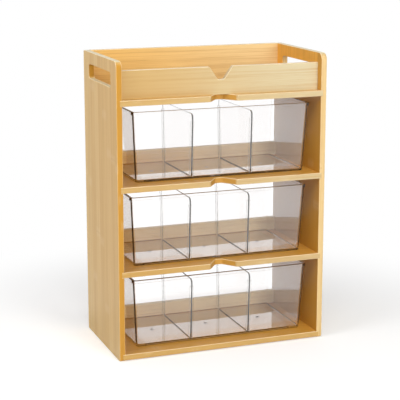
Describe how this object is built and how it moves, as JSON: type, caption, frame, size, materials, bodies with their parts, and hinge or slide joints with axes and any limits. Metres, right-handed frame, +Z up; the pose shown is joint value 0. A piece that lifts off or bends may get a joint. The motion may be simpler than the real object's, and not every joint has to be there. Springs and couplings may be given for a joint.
{
  "type": "tea bag drawer box",
  "caption": "Tabletop wooden rack with an open tray on top and clear pull-out bins, each parted by loose divider plates.",
  "frame": {"origin": "middle of the rack's footprint, on the surface that it stands on", "axes": "+Z up, -Y towards the front that the bins slide out of, X from the left panel to the right one"},
  "size_m": [0.3, 0.156, 0.405],
  "materials": {
    "bamboo": "satin clear varnish over laminated bamboo",
    "dowel_wood": "raw fluted dowel stock",
    "clear_plastic": "polished clear moulding",
    "clear_divider": "polished clear sheet"
  },
  "bodies": {
    "rack": {"left_side_panel": "bamboo", "right_side_panel": "bamboo", "base_board": "bamboo", "lower_shelf": "bamboo", "upper_shelf": "bamboo", "tray_floor": "bamboo", "tray_back_rail": "bamboo", "tray_front_fence": "bamboo", "upper_back_strip": "bamboo", "middle_back_strip": "bamboo", "lower_back_strip": "bamboo", "tray_rail_dowels": "dowel_wood", "tray_fence_dowels": "dowel_wood", "back_strip_dowels": "dowel_wood"},
    "upper_drawer": {"upper_bin": "clear_plastic", "upper_left_divider": "clear_divider", "upper_right_divider": "clear_divider"},
    "middle_drawer": {"middle_bin": "clear_plastic", "middle_left_divider": "clear_divider", "middle_right_divider": "clear_divider"},
    "lower_drawer": {"lower_bin": "clear_plastic", "lower_left_divider": "clear_divider", "lower_right_divider": "clear_divider"}
  },
  "joints": [
    {"name": "upper_bin_slide", "type": "slide", "parent": "rack", "child": "upper_drawer", "axis": [0, -1, 0], "range_m": [0, 0.12]},
    {"name": "middle_bin_slide", "type": "slide", "parent": "rack", "child": "middle_drawer", "axis": [0, -1, 0], "range_m": [0, 0.12]},
    {"name": "lower_bin_slide", "type": "slide", "parent": "rack", "child": "lower_drawer", "axis": [0, -1, 0], "range_m": [0, 0.12]}
  ]
}
